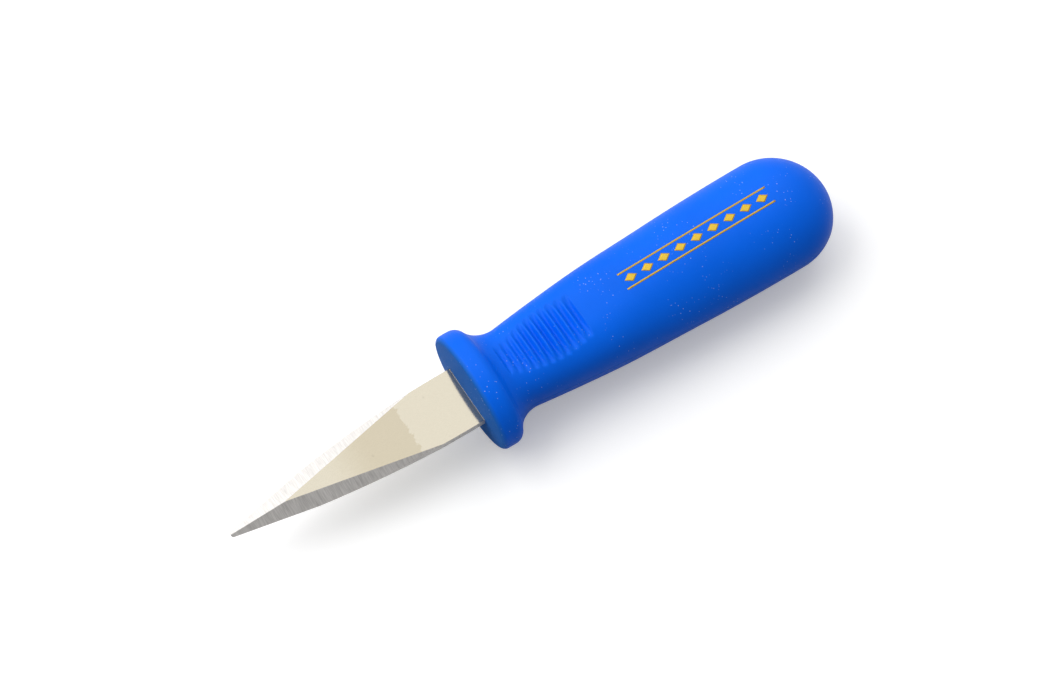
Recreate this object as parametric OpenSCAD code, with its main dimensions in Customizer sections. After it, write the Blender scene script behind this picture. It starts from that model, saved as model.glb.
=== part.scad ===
// Oyster knife: a short pointed steel blade moulded into a stout oval handle.
// Millimetres. +X runs from the point to the butt, +Y is across the blade, and +Z is square to
// its flat. The origin lies under the middle of the knife, at the height of the lowest point.

/* [Overall] */
// Length from the point of the blade to the end of the butt
overall_l = 154; // [128:1:190]
// Thickness of every section of the handle as a share of its width
oval = 0.77; // [0.65:0.01:1]

/* [Blade] */
// Length of the blade from its point to the middle of the guard
blade_l = 59.4; // [48:0.2:80]
// Width of the blade where its edges run parallel
blade_w = 14.4; // [11:0.1:18]
// Thickness of the polished blade
blade_t = 2; // [1.4:0.1:2.8]
// Length of the parallel edges in front of the guard
parallel_l = 3.5; // [2:0.2:10]
// Radius of the blunt point
point_r = 1.2; // [0.6:0.05:2]
// Distance from the point to the start of the flat, on the middle line
flat_start = 13.5; // [9:0.5:18]
// Distance from the point to where the ground bevel runs out at the edge
bevel_end = 49.5; // [38:0.5:52]
// Thickness left at the ground edge near the point
edge_t = 0.4; // [0.2:0.05:0.8]

/* [Tang] */
// Thickness of the unpolished steel inside the handle
tang_t = 2.2; // [1.6:0.1:3]
// Width of the tang
tang_w = 10; // [7:0.5:12]
// Length of the tang behind the guard's face
tang_l = 66; // [40:1:75]
// Length of the full width shoulder held by the guard
shoulder_l = 5; // [3:0.5:8]
// Diameter of the anchor holes that the handle's plastic fills
anchor_d = 4.5; // [3:0.5:6]
// Number of anchor holes
anchors = 3; // [1:1:4]

/* [Guard] */
// Width of the oval guard
guard_w = 29.4; // [25:0.2:35]
// Radius of the slightly domed front face
guard_face_r = 160; // [80:5:300]
// Width of the straight band round the rim
rim_w = 1.9; // [1:0.1:4]
// Radius of the rim's front edge
rim_front_r = 1.3; // [0.8:0.1:2]
// Radius of the rim's back edge
rim_back_r = 2.7; // [1.5:0.1:3.5]
// Radius of the hollow between guard and neck
neck_r = 6.4; // [4:0.2:9]

/* [Grip] */
// Greatest width of the grip, which ends in a half round butt
grip_w = 27.5; // [24:0.1:32]
// Radius of the long swelling side of the grip
swell_r = 570; // [450:5:900]

/* [Thumb rest] */
// Number of grooves across each thumb rest
grooves = 11; // [5:1:12]
// Distance from the guard's face to the first groove
groove_start = 9.7; // [9:0.1:14]
// Spacing of the first two grooves
groove_pitch = 1.7; // [1.5:0.05:2]
// Growth of the spacing from each groove to the next
groove_growth = 0.04; // [0:0.01:0.05]
// Width of a groove
groove_w = 0.7; // [0.4:0.05:0.9]
// Depth of the deepest groove
groove_depth = 0.9; // [0.5:0.05:1.2]
// Length of the longest groove
groove_l = 13; // [9:0.5:15]
// Squareness of the handle's section at the thumb rest, where 2 is a plain oval
squareness = 2.5; // [2:0.1:3.2]
// Length over which the section turns back to a plain oval behind the thumb rest
ease_l = 22; // [12:1:35]

/* [Hidden] */
$fn = 96;
steel = [0.80, 0.79, 0.75];
blue = [0.02, 0.38, 0.88];
tiny = 0.01;
// Facets round the handle, turned so that one of them lies at the bottom
around = 56;

point_x = -overall_l / 2;
guard_x = point_x + blade_l;
butt_x = overall_l / 2;
mid_z = oval * guard_w / 2 * cos(180 / around);

// The long edge is an arc, level with the parallel edges and tangent to the blunt point
edge_run = blade_l - parallel_l;
edge_r = (pow(edge_run - point_r, 2) + pow(blade_w / 2, 2) - pow(point_r, 2))
    / (blade_w - 2 * point_r);
edge_turn = asin((edge_run - point_r) / (edge_r - point_r));

// The bevel's inner border and the slope of its ground face
bevel_turn = atan(blade_w / 2 / (bevel_end - flat_start));
bevel_slope = atan((blade_t - edge_t) / 2 / (flat_start * sin(bevel_turn)));

// Centres of the rim's two rounded edges, measured from the guard's face and the axis
front_y = guard_w / 2 - rim_front_r;
front_x = guard_face_r - sqrt(pow(guard_face_r - rim_front_r, 2) - pow(front_y, 2));
front_turn = atan2(front_y, front_x - guard_face_r);
back_y = guard_w / 2 - rim_back_r;
back_x = front_x + rim_w;

// Centre of the swelling side, and of the hollow that joins it to the guard's back edge
grip_end_x = butt_x - guard_x - grip_w / 2;
swell_y = grip_w / 2 - swell_r;
reach = norm([grip_end_x - back_x, swell_y - back_y]);
lean = atan2(swell_y - back_y, grip_end_x - back_x);
near_side = rim_back_r + neck_r;
far_side = swell_r + neck_r;
along = (pow(near_side, 2) - pow(far_side, 2) + pow(reach, 2)) / (2 * reach);
off = sqrt(pow(near_side, 2) - pow(along, 2));
hollow = [back_x + along * cos(lean) - off * sin(lean), back_y + along * sin(lean) + off * cos(lean)];
hollow_in = atan2(hollow.y - back_y, hollow.x - back_x);
hollow_out = atan2(hollow.y - swell_y, hollow.x - grip_end_x);

function arc(c, r, from, to, n) = [for (i = [0:n]) let (a = from + (to - from) * i / n)
    [c.x + r * cos(a), c.y + r * sin(a)]];

// Half width of the grip behind the hollow, at a distance from the guard's face
function grip_half(x) = x < hollow.x ? hollow.y - neck_r * cos(asin((hollow.x - x) / neck_r))
    : swell_y + sqrt(pow(swell_r, 2) - pow(grip_end_x - x, 2));

function ramp(t) = let (u = max(0, min(1, t))) u * u * (3 - 2 * u);

// Power of the oval section at a distance from the guard's face, more than 2 at the thumb rest
function power(x) = 2 + (squareness - 2) * ramp((x - back_x) / (hollow.x - back_x))
    * ramp((groove_x(grooves) + ease_l - x) / ease_l);

// One coordinate of the section at an angle, as a share of its half size
function swing(c, x) = sign(c) * pow(abs(c), 2 / power(x));

// Height of the handle's skin above its middle plane
function skin(x, y) = let (h = grip_half(x), n = power(x))
    oval * h * pow(1 - pow(abs(y) / h, n), 1 / n);

function groove_x(i) = groove_start + i * groove_pitch + i * (i - 1) / 2 * groove_growth;

// The grooves are longest two thirds of the way along the thumb rest
function groove_len(i) = groove_l * (1 - 0.45 * pow(abs(i / (grooves - 1) - 0.68) / 0.68, 1.7));

// The handle's profile from the middle of the guard's face to the butt, as [distance, half width]
handle_profile = concat(
    arc([guard_face_r, 0], guard_face_r, 178.6, front_turn, 3),
    arc([front_x, front_y], rim_front_r, front_turn - 20, 90, 3),
    arc([back_x, back_y], rim_back_r, 90, hollow_in, 4),
    arc(hollow, neck_r, hollow_in + 172, hollow_out + 180, 5),
    arc([grip_end_x, swell_y], swell_r, hollow_out - 1, 90, 8),
    arc([grip_end_x, 0], grip_w / 2, 81, 5, 8)
);

module handle_form() {
    rings = len(handle_profile);
    last = rings * around + 1;
    points = concat(
        [[0, 0, 0]],
        [for (p = handle_profile, j = [0:around - 1]) let (a = 360 * (j + 0.5) / around)
            [p.x, p.y * swing(cos(a), p.x), oval * p.y * swing(sin(a), p.x)]],
        [[butt_x - guard_x, 0, 0]]
    );
    faces = concat(
        [for (j = [0:around - 1]) [0, 1 + j, 1 + (j + 1) % around]],
        [for (i = [0:rings - 2], j = [0:around - 1]) let (k = (j + 1) % around, at = 1 + i * around)
            [at + j, at + around + j, at + around + k, at + k]],
        [for (j = [0:around - 1]) let (at = 1 + (rings - 1) * around)
            [at + (j + 1) % around, at + j, last]]
    );
    translate([guard_x, 0, mid_z])
        polyhedron(points, faces, convexity = 4);
}

// One groove: a thin disc that dips into the crowned surface and leaves it at the groove's ends
module groove(i) {
    x = groove_x(i);
    half_l = groove_len(i) / 2;
    drop = skin(x, 0) - skin(x, half_l);
    dip = max(groove_depth * (0.5 + 0.5 * min(1, (i + 1) / (grooves - 1))), drop + groove_depth / 12);
    disc_r = (pow(half_l, 2) + pow(dip - drop, 2)) / (2 * (dip - drop));
    translate([guard_x + x - groove_w / 2, 0, mid_z + skin(x, 0) - dip + disc_r])
        rotate([0, 90, 0])
            cylinder(h = groove_w, r = disc_r, $fn = 360);
}

module blade_outline() {
    half = blade_w / 2;
    tangent_x = point_r - point_r * sin(edge_turn);
    translate([point_x + point_r, 0])
        circle(r = point_r);
    intersection() {
        translate([point_x + edge_run, half - edge_r])
            circle(r = edge_r, $fn = 720);
        translate([point_x + edge_run, edge_r - half])
            circle(r = edge_r, $fn = 720);
        translate([point_x + tangent_x, -half])
            square([edge_run - tangent_x, blade_w]);
    }
    translate([point_x + edge_run - tiny, -half])
        square([parallel_l + tiny, blade_w]);
}

// The wedge of steel ground away beside one edge of one face
module bevel_cut() {
    translate([point_x + flat_start, 0, blade_t / 2])
        rotate([0, 0, bevel_turn])
            rotate([-bevel_slope, 0, 0])
                translate([-2 * blade_l, 0, 0])
                    cube([4 * blade_l, 2 * blade_w, 2 * blade_w]);
}

module tang() {
    end_x = guard_x + tang_l;
    step = (tang_l - shoulder_l - tang_w) / anchors;
    difference() {
        translate([0, 0, -tang_t / 2])
            linear_extrude(tang_t)
                union() {
                    translate([guard_x, -blade_w / 2])
                        square([shoulder_l, blade_w]);
                    translate([guard_x, -tang_w / 2])
                        square([tang_l - tang_w / 2, tang_w]);
                    translate([end_x - tang_w / 2, 0])
                        circle(d = tang_w);
                }
        for (i = [0:anchors - 1])
            translate([guard_x + shoulder_l + (i + 0.75) * step, 0, -tang_t])
                cylinder(h = 2 * tang_t, d = anchor_d);
    }
}

module blade() {
    color(steel)
        translate([0, 0, mid_z]) {
            difference() {
                translate([0, 0, -blade_t / 2])
                    linear_extrude(blade_t)
                        blade_outline();
                for (side = [0, 1], face = [0, 1])
                    mirror([0, side, 0])
                        mirror([0, 0, face])
                            bevel_cut();
            }
            tang();
        }
}

module handle() {
    color(blue)
        difference() {
            handle_form();
            translate([0, 0, mid_z])
                tang();
            for (face = [0, 1], i = [0:grooves - 1])
                translate([0, 0, mid_z])
                    mirror([0, 0, face])
                        translate([0, 0, -mid_z])
                            groove(i);
        }
}

blade();
handle();
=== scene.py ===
import bpy
import math
import numpy as np
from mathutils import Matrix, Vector


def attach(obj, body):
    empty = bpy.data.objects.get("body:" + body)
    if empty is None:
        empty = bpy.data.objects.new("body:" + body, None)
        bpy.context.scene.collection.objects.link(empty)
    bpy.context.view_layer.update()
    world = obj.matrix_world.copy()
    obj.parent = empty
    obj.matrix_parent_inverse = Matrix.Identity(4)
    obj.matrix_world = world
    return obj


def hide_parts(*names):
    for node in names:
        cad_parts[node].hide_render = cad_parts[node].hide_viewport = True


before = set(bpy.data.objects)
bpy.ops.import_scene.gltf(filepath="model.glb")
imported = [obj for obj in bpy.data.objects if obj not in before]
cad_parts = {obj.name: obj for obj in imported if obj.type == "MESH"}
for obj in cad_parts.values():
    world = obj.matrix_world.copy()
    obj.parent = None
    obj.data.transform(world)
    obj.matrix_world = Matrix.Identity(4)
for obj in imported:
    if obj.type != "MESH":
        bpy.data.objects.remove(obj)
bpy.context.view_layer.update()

# Camera and setting.
# The knife lies blade to the lower left, seen from above its long side with a long lens.
# The ground is plain and white, with two large soft lights behind the knife.
MM = 0.001
photo_w = 1053
focal_px = 2700
sensor_mm = 36
camera_azimuth = math.radians(-32.7)
camera_elevation = math.radians(66.45)
camera_distance = 592.5 * MM
camera_target = Vector((-0.7, 2.2, 11.3)) * MM

towards_camera = Vector((
    math.sin(camera_azimuth) * math.cos(camera_elevation),
    -math.cos(camera_azimuth) * math.cos(camera_elevation),
    math.sin(camera_elevation),
))
camera_data = bpy.data.cameras.new("camera")
camera_data.sensor_width = sensor_mm
camera_data.lens = focal_px / photo_w * sensor_mm
camera_data.clip_start = 0.01
camera_data.clip_end = 20
camera = bpy.data.objects.new("camera", camera_data)
camera.location = camera_target + towards_camera * camera_distance
camera.rotation_euler = towards_camera.to_track_quat("Z", "Y").to_euler()
bpy.context.scene.collection.objects.link(camera)
bpy.context.scene.camera = camera
bpy.context.scene.view_settings.view_transform = "Standard"


def add_node(tree, kind, inputs=None, **settings):
    node = tree.nodes.new(kind)
    for name, value in settings.items():
        setattr(node, name, value)
    for socket, value in (inputs or {}).items():
        if isinstance(value, bpy.types.NodeSocket):
            tree.links.new(value, node.inputs[socket])
        else:
            node.inputs[socket].default_value = value
    return node


def new_material(name):
    material = bpy.data.materials.new(name)
    material.use_nodes = True
    material.node_tree.nodes.clear()
    return material, material.node_tree


def mixed(tree, kind, factor, a, b):
    mix = add_node(tree, "ShaderNodeMix", {"Factor": factor, "A": a, "B": b}, data_type=kind)
    return mix.outputs["Result"]


def maths(tree, operation, *values):
    return add_node(tree, "ShaderNodeMath", dict(enumerate(values)), operation=operation).outputs[0]


def show_surface(tree, shader):
    add_node(tree, "ShaderNodeOutputMaterial", {"Surface": shader.outputs[0]})


def mesh_object(name, vertices, faces):
    mesh = bpy.data.meshes.new(name)
    mesh.from_pydata(vertices, [], faces)
    mesh.validate()
    mesh.update()
    mesh.polygons.foreach_set("use_smooth", [True] * len(mesh.polygons))
    piece = bpy.data.objects.new(name, mesh)
    bpy.context.scene.collection.objects.link(piece)
    return piece


floor_half = 3.0
floor_white = (0.9, 0.9, 0.9, 1)
floor_bounce = (0.22, 0.22, 0.23, 1)
floor_lift = 0.26
floor = mesh_object(
    "floor",
    [(x * floor_half, y * floor_half, 0) for x, y in ((-1, -1), (1, -1), (1, 1), (-1, 1))],
    [(0, 1, 2, 3)],
)
material, tree = new_material("floor_paper")
path = add_node(tree, "ShaderNodeLightPath").outputs
seen = maths(tree, "MAXIMUM", path["Is Camera Ray"], path["Is Glossy Ray"])
paper = add_node(tree, "ShaderNodeBsdfPrincipled", {
    "Roughness": 0.9,
    "Emission Color": (1, 1, 1, 1),
    "Base Color": mixed(tree, "RGBA", seen, floor_bounce, floor_white),
    "Emission Strength": maths(tree, "MULTIPLY", path["Is Camera Ray"], floor_lift),
})
show_surface(tree, paper)
floor.data.materials.append(material)

glow_front = 0.34
glow_back = 0.70
world = bpy.data.worlds.new("studio")
world.use_nodes = True
bpy.context.scene.world = world
tree = world.node_tree
sky = add_node(tree, "ShaderNodeTexCoord")
split = add_node(tree, "ShaderNodeSeparateXYZ", {0: sky.outputs["Generated"]})
glow = add_node(tree, "ShaderNodeMapRange", {
    "Value": split.outputs["Y"],
    "From Min": -0.5,
    "From Max": 0.5,
    "To Min": glow_front,
    "To Max": glow_back,
})
path = add_node(tree, "ShaderNodeLightPath").outputs
level = mixed(tree, "FLOAT", path["Is Camera Ray"], glow.outputs["Result"], 1.0)
background = tree.nodes["Background"]
background.inputs["Color"].default_value = (1, 1, 1, 1)
tree.links.new(level, background.inputs["Strength"])


def soft_light(name, place, size, power):
    data = bpy.data.lights.new(name, "AREA")
    data.shape = "SQUARE"
    data.size = size
    data.energy = power
    light = bpy.data.objects.new(name, data)
    light.location = Vector(place)
    light.rotation_euler = Vector(place).to_track_quat("Z", "Y").to_euler()
    bpy.context.scene.collection.objects.link(light)


soft_light("key", (0.34, 0.78, 1.15), 1.6, 7.6)
soft_light("left", (-0.75, 0.70, 0.95), 1.4, 12.0)


# Blade.
# Stamped stainless steel with a tang moulded into the handle. Both edges are ground to a blunt
# bevel with a wheel that runs across the blade, and the flats are polished to a warm satin.
overall_l = 154 * MM
blade_l = 59.4 * MM
oval = 0.77
guard_w = 29.4 * MM
point_x = -overall_l / 2
guard_x = point_x + blade_l
cad_facets = 56
mid_z = oval * guard_w / 2 * math.cos(math.pi / cad_facets)
section = mid_z / (guard_w / 2)

steel_warm = (0.50, 0.462, 0.375, 1)
steel_beige = (0.44, 0.395, 0.30, 1)
steel_ground = (0.62, 0.60, 0.58, 1)
flat_from = 0.985
bevel_streak = (0.80, 1.12)
flat_streak = (0.975, 1.02)
bevel_rough = (0.30, 0.46)
flat_rough = (0.07, 0.11)
line_depth = 0.02 * MM
flat_line_share = 0.08
grind_spacing = 0.16 * MM
beige_from = point_x + 31 * MM
beige_to = point_x + 44.5 * MM
beige_fade = 6 * MM
ragged_reach = 3.0 * MM


def effect_group(name, inputs, outputs):
    group = bpy.data.node_groups.new(name, "ShaderNodeTree")
    group.interface.new_socket("Vector", in_out="INPUT", socket_type="NodeSocketVector")
    for label, value in inputs.items():
        socket = group.interface.new_socket(label, in_out="INPUT", socket_type="NodeSocketFloat")
        socket.default_value = value
    for label in outputs:
        group.interface.new_socket(label, in_out="OUTPUT", socket_type="NodeSocketFloat")
    return group, add_node(group, "NodeGroupInput").outputs


def group_levels(group, value, given):
    ranged = add_node(group, "ShaderNodeMapRange", {
        "Value": value,
        "From Min": given["From Low"],
        "From Max": given["From High"],
        "To Min": given["Low"],
        "To Max": given["High"],
    })
    return ranged.outputs["Result"]


# Uneven tone or height from noise: grinding lines, plastic grain, clouds and worn foil
mottle, given = effect_group(
    "mottle",
    {"Scale": 1.0, "Detail": 2.0, "From Low": 0.3, "From High": 0.7, "Low": 0.0, "High": 1.0},
    ("Noise", "Level"),
)
noise = add_node(
    mottle,
    "ShaderNodeTexNoise",
    {"Vector": given["Vector"], "Scale": given["Scale"], "Detail": given["Detail"]},
)
levels = group_levels(mottle, noise.outputs["Fac"], given)
add_node(mottle, "NodeGroupOutput", {"Noise": noise.outputs["Fac"], "Level": levels})

# Round dots scattered one to a cell: spots in the steel and dust on the plastic
specks, given = effect_group(
    "specks",
    {"Scale": 1.0, "From Low": 0.0, "From High": 1.0, "Low": 0.0, "High": 1.0},
    ("Level",),
)
cells = add_node(specks, "ShaderNodeTexVoronoi", {"Vector": given["Vector"], "Scale": given["Scale"]})
levels = group_levels(specks, cells.outputs["Distance"], given)
add_node(specks, "NodeGroupOutput", {"Level": levels})


def effect(tree, group, vector, values):
    return add_node(tree, "ShaderNodeGroup", {"Vector": vector, **values}, node_tree=group).outputs


def spread(tree, value, low, high, start=0.0, stop=1.0, curve="LINEAR"):
    ranged = add_node(
        tree,
        "ShaderNodeMapRange",
        {"Value": value, "From Min": start, "From Max": stop, "To Min": low, "To Max": high},
        interpolation_type=curve,
    )
    return ranged.outputs["Result"]


def shaded(tree, colour, strength):
    scaled = add_node(tree, "ShaderNodeVectorMath", {0: colour, "Scale": strength}, operation="SCALE")
    return scaled.outputs[0]


def stretched(tree, vector, scale):
    return add_node(tree, "ShaderNodeMapping", {"Vector": vector, "Scale": scale}).outputs[0]


material, tree = new_material("ground_steel")
place = add_node(tree, "ShaderNodeTexCoord").outputs["Object"]
normal = add_node(tree, "ShaderNodeNewGeometry").outputs["Normal"]
facing = add_node(tree, "ShaderNodeSeparateXYZ", {0: normal})
flat = maths(tree, "GREATER_THAN", maths(tree, "ABSOLUTE", facing.outputs["Z"]), flat_from)

# Fine lines that run across the blade on the bevels, and along it on the flats
across = stretched(tree, place, (1 / grind_spacing, 0.06 / grind_spacing, 0.06 / grind_spacing))
lengthwise = stretched(tree, place, (0.25 / grind_spacing, 0.9 / grind_spacing, 0.9 / grind_spacing))
across_lines = effect(tree, mottle, across, {"Detail": 3})["Noise"]
lengthwise_lines = effect(tree, mottle, lengthwise, {"Detail": 3})["Noise"]
lines = mixed(tree, "FLOAT", flat, across_lines, lengthwise_lines)

# A darker beige band across the flats, with a ragged border
ragged = effect(tree, mottle, place, {"Scale": 900, "Detail": 4})["Noise"]
where = add_node(tree, "ShaderNodeSeparateXYZ", {0: place})
shift = maths(tree, "MULTIPLY_ADD", ragged, ragged_reach, where.outputs["X"])
rise = spread(tree, shift, 0, 1, beige_from - beige_fade, beige_from + beige_fade, "SMOOTHSTEP")
fall = spread(tree, shift, 1, 0, beige_to + 1.3 * MM, beige_to + 1.7 * MM, "SMOOTHSTEP")
polish = mixed(tree, "RGBA", maths(tree, "MULTIPLY", rise, fall), steel_warm, steel_beige)
tone = mixed(tree, "RGBA", flat, steel_ground, polish)

spots = effect(tree, specks, place, {
    "Scale": 190,
    "From Low": 0.03,
    "From High": 0.09,
    "Low": 0.86,
    "High": 1.0,
})["Level"]
streak_low = spread(tree, flat, bevel_streak[0], flat_streak[0])
streak_high = spread(tree, flat, bevel_streak[1], flat_streak[1])
streak = spread(tree, lines, streak_low, streak_high, 0.3, 0.7)
gloss_low = spread(tree, flat, bevel_rough[0], flat_rough[0])
gloss_high = spread(tree, flat, bevel_rough[1], flat_rough[1])
gloss = spread(tree, lines, gloss_low, gloss_high, 0.3, 0.7)
scratch = add_node(tree, "ShaderNodeBump", {
    "Strength": 0.25,
    "Distance": line_depth,
    "Height": maths(tree, "MULTIPLY", lines, spread(tree, flat, 1.0, flat_line_share)),
})
steel = add_node(tree, "ShaderNodeBsdfPrincipled", {
    "Metallic": 1,
    "Base Color": shaded(tree, tone, maths(tree, "MULTIPLY", streak, spots)),
    "Roughness": gloss,
    "Normal": scratch.outputs[0],
})
show_surface(tree, steel)
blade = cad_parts["blade"]
blade.data.materials.clear()
blade.data.materials.append(material)


# Handle.
# One piece of blue polypropylene moulded round the tang: an oval guard with a slightly domed
# face, a waisted neck with a thumb rest of cross grooves above and below, and a round butt.
guard_face_r = 160 * MM
rim_w = 1.9 * MM
rim_front_r = 1.3 * MM
rim_back_r = 2.7 * MM
neck_r = 6.4 * MM
grip_w = 27.5 * MM
swell_r = 570 * MM
handle_l = overall_l - blade_l

front_y = guard_w / 2 - rim_front_r
front_x = guard_face_r - math.sqrt((guard_face_r - rim_front_r) ** 2 - front_y ** 2)
front_turn = math.atan2(front_y, front_x - guard_face_r)
back_y = guard_w / 2 - rim_back_r
back_x = front_x + rim_w
grip_end_x = handle_l - grip_w / 2
swell_y = grip_w / 2 - swell_r
reach = math.hypot(grip_end_x - back_x, swell_y - back_y)
lean = math.atan2(swell_y - back_y, grip_end_x - back_x)
near_side = rim_back_r + neck_r
far_side = swell_r + neck_r
along = (near_side ** 2 - far_side ** 2 + reach ** 2) / (2 * reach)
off = math.sqrt(near_side ** 2 - along ** 2)
hollow_x = back_x + along * math.cos(lean) - off * math.sin(lean)
hollow_y = back_y + along * math.sin(lean) + off * math.cos(lean)
hollow_in = math.atan2(hollow_y - back_y, hollow_x - back_x)
hollow_out = math.atan2(hollow_y - swell_y, hollow_x - grip_end_x)
swell_start_x = hollow_x + neck_r * math.cos(hollow_out + math.pi)


def arc(cx, cy, r, start, end, parts):
    angles = [start + (end - start) * i / parts for i in range(parts + 1)]
    return [(cx + r * math.cos(a), cy + r * math.sin(a)) for a in angles]


def swell_half(x):
    return swell_y + math.sqrt(swell_r ** 2 - (grip_end_x - x) ** 2)


def hollow_half(x):
    return hollow_y - math.sqrt(max(neck_r ** 2 - (hollow_x - x) ** 2, 0))


def grip_half(x):
    if x > grip_end_x:
        return math.sqrt(max((grip_w / 2) ** 2 - (x - grip_end_x) ** 2, 0))
    return hollow_half(x) if x < swell_start_x else swell_half(x)


# Half of the outline seen from above: fine rings over the thumb rest, wider ones to the butt
fine_to = 32 * MM
fine_step = 0.15 * MM
wide_rings = 60
pole_turn = 0.004
butt_turn = 0.02
profile = arc(guard_face_r, 0, guard_face_r, math.pi - pole_turn, front_turn, 12)
profile += arc(front_x, front_y, rim_front_r, front_turn, math.pi / 2, 10)[1:]
profile += [(front_x + rim_w * i / 4, guard_w / 2) for i in range(1, 4)]
profile += arc(back_x, back_y, rim_back_r, math.pi / 2, hollow_in, 12)
profile += arc(hollow_x, hollow_y, neck_r, hollow_in + math.pi, hollow_out + math.pi, 44)[1:]
x = profile[-1][0] + fine_step
while x < fine_to:
    profile.append((x, grip_half(x)))
    x += fine_step
wide_xs = [x + (grip_end_x - x) * i / wide_rings for i in range(wide_rings + 1)]
profile += [(x, swell_half(x)) for x in wide_xs]
profile += arc(grip_end_x, 0, grip_w / 2, math.pi / 2, butt_turn, 30)[1:]

# Thumb rest: V-shaped grooves that fade out at both ends, wider spaced towards the butt
grooves = 11
groove_start = 9.7 * MM
groove_pitch = 1.7 * MM
groove_growth = 0.04 * MM
groove_w = 0.72 * MM
groove_depth = 0.95 * MM
groove_l = 13.0 * MM
longest_at = 0.68
squareness = 2.5
ease_l = 22 * MM


def groove_x(i):
    return groove_start + i * groove_pitch + i * (i - 1) / 2 * groove_growth


def groove_len(i):
    return groove_l * (1 - 0.45 * (abs(i / (grooves - 1) - longest_at) / longest_at) ** 1.7)


def ease(a, b, v):
    t = np.clip((v - a) / (b - a), 0, 1)
    return t * t * (3 - 2 * t)


def power(x):
    # The section is an oval, drawn towards a rounded rectangle under the thumb rest
    rise = ease(0, 1, (x - back_x) / (hollow_x - back_x))
    return 2 + (squareness - 2) * rise * ease(0, 1, (groove_x(grooves) + ease_l - x) / ease_l)


def skin(x, y):
    r = grip_half(x)
    n = float(power(x))
    return section * r * (1 - (min(abs(y), 0.999 * r) / r) ** n) ** (1 / n)


def groove_sink(x, y, height):
    # The grooves are cut flat through the crown, so each runs out on the flanks
    sink = np.zeros_like(x)
    for i in range(grooves):
        at = groove_x(i)
        w = groove_w * (0.85 + 0.35 * i / (grooves - 1))
        half_l = groove_len(i) / 2
        drop = skin(at, 0) - skin(at, half_l)
        dip = max(groove_depth * (0.5 + 0.5 * min(1, (i + 1) / (grooves - 1))), drop + groove_depth / 12)
        rise = (dip - drop) / half_l ** 2
        share = np.clip(1 - np.abs(x - at) / w, 0, 1)
        share = share * (2 - share)
        below = height - (skin(at, 0) - dip + rise * y * y)
        sink = np.maximum(sink, share * np.clip(below, 0, dip))
    return sink


# Rings of vertices, with a fine ridge left on both sides where the mould halves met
ring_parts = 192
seam_h = 0.06 * MM
seam_turn = math.radians(1.2)
seam_from_r = 3 * MM
even_turns = [2 * math.pi * i / ring_parts for i in range(ring_parts)]
seam_turns = [seam_turn, seam_turn / 2, -seam_turn / 2, -seam_turn]
turns = [t for t in even_turns if abs(math.sin(t)) > math.sin(seam_turn) or abs(math.sin(t)) < 1e-9]
turns += [t % (2 * math.pi) for t in seam_turns] + [math.pi + t for t in seam_turns]
turns = np.array(sorted(turns))
count = len(turns)
xs = np.array([p[0] for p in profile])[:, None] * np.ones((1, count))
rs = np.array([p[1] for p in profile])[:, None]
seam = seam_h * np.clip(1 - np.abs(np.sin(turns)) / math.sin(seam_turn), 0, 1)[None]
swing = 2 / power(xs)
side_y = np.sign(np.cos(turns)) * np.abs(np.cos(turns))[None] ** swing
side_z = np.sign(np.sin(turns)) * np.abs(np.sin(turns))[None] ** swing
ys = (rs + np.where(rs > seam_from_r, seam, 0)) * side_y
zs = section * rs * side_z
sink = np.where(xs > hollow_x - neck_r, groove_sink(xs, ys, np.abs(zs)), 0)
zs = zs - np.sign(zs) * sink
vertices = [(guard_x, 0, mid_z)]
vertices += [(guard_x + a, b, mid_z + c) for a, b, c in zip(xs.ravel(), ys.ravel(), zs.ravel())]
vertices.append((guard_x + handle_l, 0, mid_z))
last = len(vertices) - 1
faces = [(0, 1 + (j + 1) % count, 1 + j) for j in range(count)]
for i in range(len(profile) - 1):
    at = 1 + i * count
    for j in range(count):
        k = (j + 1) % count
        faces.append((at + j, at + k, at + count + k, at + count + j))
at = 1 + (len(profile) - 1) * count
faces += [(at + j, at + (j + 1) % count, last) for j in range(count)]
handle = mesh_object("moulded_handle", vertices, faces)

blue = (0.0, 0.135, 0.86, 1)
blue_dull = (0.010, 0.115, 0.44, 1)
dust_pale = (0.55, 0.66, 0.85, 1)
grain_size = 0.25 * MM
grain_depth = 0.03 * MM
grain_rough = (0.34, 0.44)
face_rougher = 0.22
cloud_tone = (0.94, 1.05)
seam_painted_shade = 0.72
dust_spacing = 0.9 * MM
material, tree = new_material("blue_polypropylene")
place = add_node(tree, "ShaderNodeTexCoord").outputs["Object"]
where = add_node(tree, "ShaderNodeSeparateXYZ", {0: place})

# The guard's face is duller than the rest, and the colour drifts a little everywhere
front = spread(tree, where.outputs["X"], 1, 0, guard_x + 0.6 * MM, guard_x + 1.6 * MM)
tone = mixed(tree, "RGBA", front, blue, blue_dull)
cloud = effect(tree, mottle, place, {
    "Scale": 60,
    "Detail": 4,
    "Low": cloud_tone[0],
    "High": cloud_tone[1],
})["Level"]
# Painted shade: the colour is darkened in a thin line along the parting line at the mid plane, all round
# the outline
seam_off = maths(tree, "ABSOLUTE", maths(tree, "SUBTRACT", where.outputs["Z"], mid_z))
painted_seam_shade = spread(tree, seam_off, seam_painted_shade, 1.0, 0.05 * MM, 0.12 * MM)
moulded = shaded(tree, tone, maths(tree, "MULTIPLY", cloud, painted_seam_shade))

# Dust in the grain, in drifts
dust_dots = effect(tree, specks, place, {
    "Scale": 1 / dust_spacing,
    "From Low": 0.09,
    "From High": 0.15,
    "Low": 1,
    "High": 0,
})["Level"]
dust_drift = effect(tree, mottle, place, {
    "Scale": 110,
    "From Low": 0.50,
    "From High": 0.62,
    "High": 0.55,
})["Level"]
dusted = mixed(tree, "RGBA", maths(tree, "MULTIPLY", dust_dots, dust_drift), moulded, dust_pale)

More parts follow.
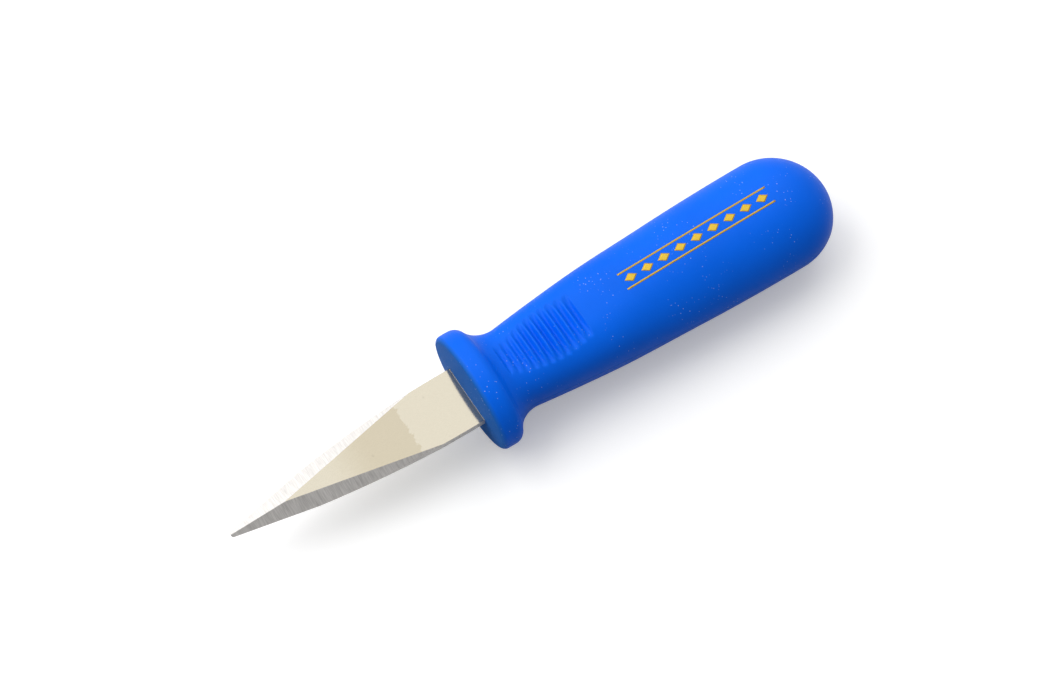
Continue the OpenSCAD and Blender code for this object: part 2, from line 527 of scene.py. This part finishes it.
grain = effect(tree, mottle, place, {
    "Scale": 1 / grain_size,
    "Low": grain_rough[0],
    "High": grain_rough[1],
})
bump = add_node(tree, "ShaderNodeBump", {
    "Strength": 0.6,
    "Distance": grain_depth,
    "Height": grain["Noise"],
})
plastic = add_node(tree, "ShaderNodeBsdfPrincipled", {
    "IOR": 1.49,
    "Specular IOR Level": 0.10,
    "Base Color": dusted,
    "Roughness": maths(tree, "MULTIPLY_ADD", front, face_rougher, grain["Level"]),
    "Normal": bump.outputs[0],
})
show_surface(tree, plastic)
handle.data.materials.append(material)
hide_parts("handle")
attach(handle, "root")


# Ornament.
# A plain band of gold foil stamped on the upper side of the grip: a row of lozenges between two
# thin rules. The foil lies on the plastic and follows its curve.
band_from = 41 * MM
band_l = 39 * MM
band_y = 1.0 * MM
band_h = 4.6 * MM
rule_w = 0.45 * MM
lozenges = 9
lozenge_l = 3.2 * MM
lozenge_h = 2.3 * MM
foil_lift = 0.03 * MM
foil_gold = (0.60, 0.40, 0.04, 1)
foil_rough = (0.30, 0.55)
lozenge_points = 7
rule_points = 81
drop_from = 0.1

material, tree = new_material("gold_foil")
place = add_node(tree, "ShaderNodeTexCoord").outputs["Object"]
worn = effect(tree, mottle, place, {
    "Scale": 1500,
    "From Low": 0.0,
    "From High": 1.0,
    "Low": foil_rough[0],
    "High": foil_rough[1],
})["Level"]
foil = add_node(tree, "ShaderNodeBsdfPrincipled", {
    "Base Color": foil_gold,
    "Metallic": 0.7,
    "Roughness": worn,
})
show_surface(tree, foil)

# The tree lays out flat lozenges and rules, then drops them on the grip from above
foil_tree = bpy.data.node_groups.new("foil_on_grip", "GeometryNodeTree")
foil_tree.interface.new_socket("Geometry", in_out="OUTPUT", socket_type="NodeSocketGeometry")
rule_gap = band_h - rule_w
lozenge_step = band_l / lozenges
foil_inputs = {
    "Lozenges": ("NodeSocketInt", lozenges),
    "First Lozenge": ("NodeSocketVector", (guard_x + band_from + lozenge_step / 2, band_y, 0.0)),
    "Lozenge Step": ("NodeSocketVector", (lozenge_step, 0.0, 0.0)),
    "Lozenge Size": ("NodeSocketVector", (lozenge_l, lozenge_h, 0.0)),
    "First Rule": ("NodeSocketVector", (guard_x + band_from + band_l / 2, band_y - rule_gap / 2, 0.0)),
    "Rule Step": ("NodeSocketVector", (0.0, rule_gap, 0.0)),
    "Rule Length": ("NodeSocketFloat", band_l),
    "Rule Width": ("NodeSocketFloat", rule_w),
    "Lift": ("NodeSocketFloat", foil_lift),
    "Grip": ("NodeSocketObject", handle),
    "Foil": ("NodeSocketMaterial", material),
}
foil_sockets = {
    label: foil_tree.interface.new_socket(label, in_out="INPUT", socket_type=kind).identifier
    for label, (kind, value) in foil_inputs.items()
}
given = add_node(foil_tree, "NodeGroupInput").outputs


def foil_row(shape, amount, first, step):
    points = add_node(
        foil_tree,
        "GeometryNodeMeshLine",
        {"Count": amount, "Start Location": first, "Offset": step},
        mode="OFFSET",
    )
    row = add_node(
        foil_tree,
        "GeometryNodeInstanceOnPoints",
        {"Points": points.outputs[0], "Instance": shape},
    )
    return row.outputs[0]


square = add_node(foil_tree, "GeometryNodeMeshGrid", {
    "Size X": math.sqrt(0.5),
    "Size Y": math.sqrt(0.5),
    "Vertices X": lozenge_points,
    "Vertices Y": lozenge_points,
})
corner_up = add_node(foil_tree, "GeometryNodeTransform", {
    "Geometry": square.outputs["Mesh"],
    "Rotation": (0, 0, math.radians(45)),
})
lozenge = add_node(foil_tree, "GeometryNodeTransform", {
    "Geometry": corner_up.outputs[0],
    "Scale": given["Lozenge Size"],
})
rule = add_node(foil_tree, "GeometryNodeMeshGrid", {
    "Size X": given["Rule Length"],
    "Size Y": given["Rule Width"],
    "Vertices X": rule_points,
    "Vertices Y": 2,
})
band = add_node(foil_tree, "GeometryNodeJoinGeometry")
for row in (
    foil_row(rule.outputs["Mesh"], 2, given["First Rule"], given["Rule Step"]),
    foil_row(lozenge.outputs[0], given["Lozenges"], given["First Lozenge"], given["Lozenge Step"]),
):
    foil_tree.links.new(row, band.inputs[0])
realized = add_node(foil_tree, "GeometryNodeRealizeInstances", {0: band.outputs[0]})
flat_place = add_node(foil_tree, "GeometryNodeInputPosition")
above = add_node(
    foil_tree,
    "ShaderNodeVectorMath",
    {0: flat_place.outputs[0], 1: (0, 0, drop_from)},
    operation="ADD",
)
grip = add_node(foil_tree, "GeometryNodeObjectInfo", {"Object": given["Grip"]})
dropped = add_node(foil_tree, "GeometryNodeRaycast", {
    "Target Geometry": grip.outputs["Geometry"],
    "Source Position": above.outputs[0],
    "Ray Direction": (0, 0, -1),
    "Ray Length": drop_from,
})
raised = add_node(foil_tree, "ShaderNodeCombineXYZ", {"Z": given["Lift"]})
stamped = add_node(
    foil_tree,
    "ShaderNodeVectorMath",
    {0: dropped.outputs["Hit Position"], 1: raised.outputs[0]},
    operation="ADD",
)
draped = add_node(foil_tree, "GeometryNodeSetPosition", {
    "Geometry": realized.outputs[0],
    "Position": stamped.outputs[0],
})
gilded = add_node(foil_tree, "GeometryNodeSetMaterial", {
    "Geometry": draped.outputs[0],
    "Material": given["Foil"],
})
add_node(foil_tree, "NodeGroupOutput", {"Geometry": gilded.outputs[0]})

ornament = mesh_object("stamped_foil_band", [], [])
stamp = ornament.modifiers.new("stamp", "NODES")
stamp.node_group = foil_tree
for label, (kind, value) in foil_inputs.items():
    stamp[foil_sockets[label]] = value
evaluated = ornament.evaluated_get(bpy.context.evaluated_depsgraph_get())
foil_mesh = bpy.data.meshes.new_from_object(evaluated)
ornament.modifiers.remove(stamp)
ornament.data = foil_mesh
foil_mesh.polygons.foreach_set("use_smooth", [True] * len(foil_mesh.polygons))
thickness = ornament.modifiers.new("thickness", "SOLIDIFY")
thickness.thickness = foil_lift
thickness.offset = -1
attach(ornament, "root")
